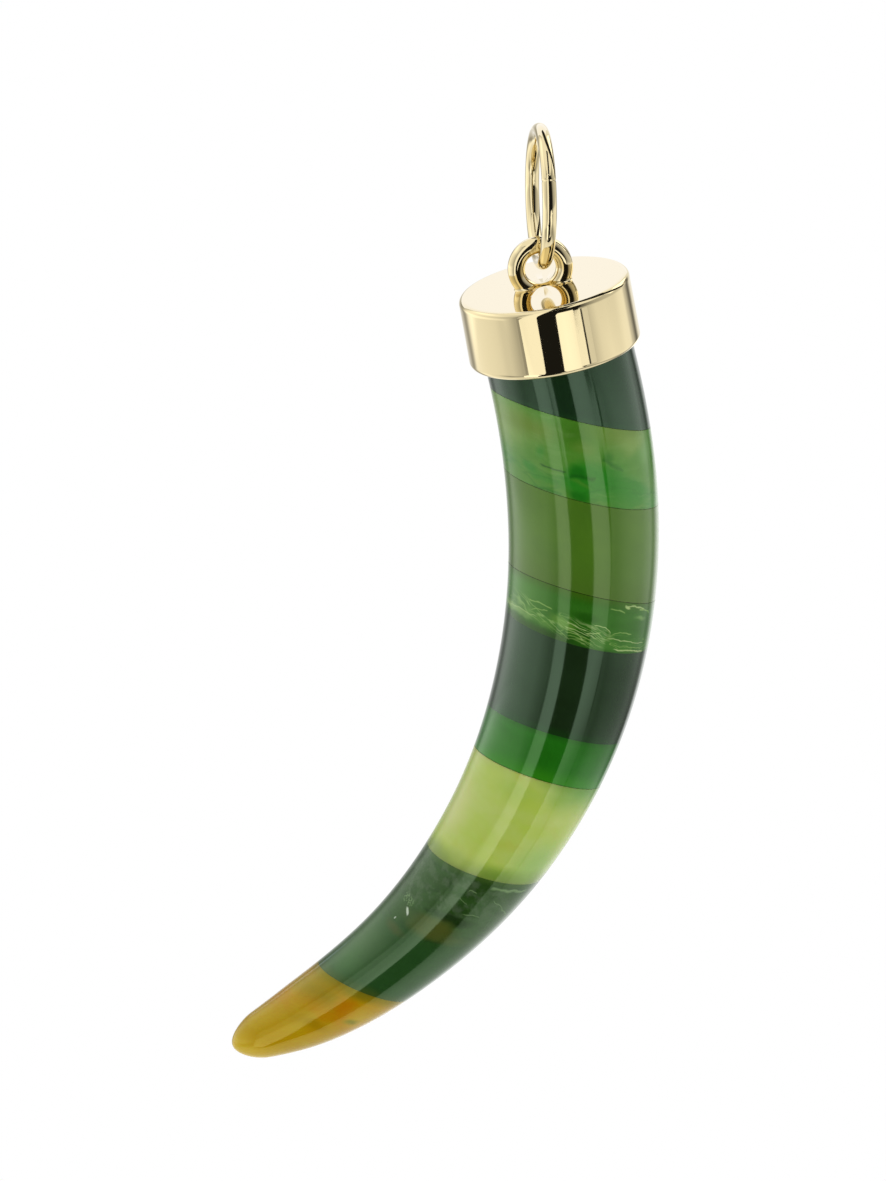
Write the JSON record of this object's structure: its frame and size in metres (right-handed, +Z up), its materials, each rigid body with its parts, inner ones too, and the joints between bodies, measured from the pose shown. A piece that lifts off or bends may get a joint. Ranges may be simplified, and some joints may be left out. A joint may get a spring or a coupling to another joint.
{
  "type": "tusk pendant",
  "caption": "Curved tusk of glued green, lime and amber resin slices, set in a round gold cap whose soldered eye hangs from a large jump ring.",
  "frame": {"origin": "the inside top of the jump ring, where a chain or cord carries the pendant", "axes": "+Z up along the hanging pendant, -X toward the tusk's tip, +Y across the tusk's curve; the jump ring lies in the plane x = 0, and the eye and the tusk's curve in the plane y = 0"},
  "size_m": [0.0359, 0.014, 0.0807],
  "materials": {
    "gold": "polished",
    "resin_dark_green": "gloss",
    "resin_marbled_green": "gloss",
    "resin_olive": "gloss",
    "resin_wispy_green": "gloss",
    "resin_black_green": "gloss",
    "resin_mid_green": "gloss",
    "resin_lime": "gloss",
    "resin_moss": "gloss",
    "resin_amber": "gloss"
  },
  "bodies": {
    "ring": {"jump_ring": "gold"},
    "pendant": {"cap": "gold", "slice_1_dark_green": "resin_dark_green", "slice_2_marbled_green": "resin_marbled_green", "slice_3_olive": "resin_olive", "slice_4_wispy_green": "resin_wispy_green", "slice_5_black_green": "resin_black_green", "slice_6_mid_green": "resin_mid_green", "slice_7_lime": "resin_lime", "slice_8_moss": "resin_moss", "slice_9_amber": "resin_amber"}
  },
  "joints": [
    {"name": "swing", "type": "hinge", "parent": "ring", "child": "pendant", "pos_m": [0, 0, -0.01002], "axis": [0, 1, 0], "range_deg": [-80, 100]}
  ]
}
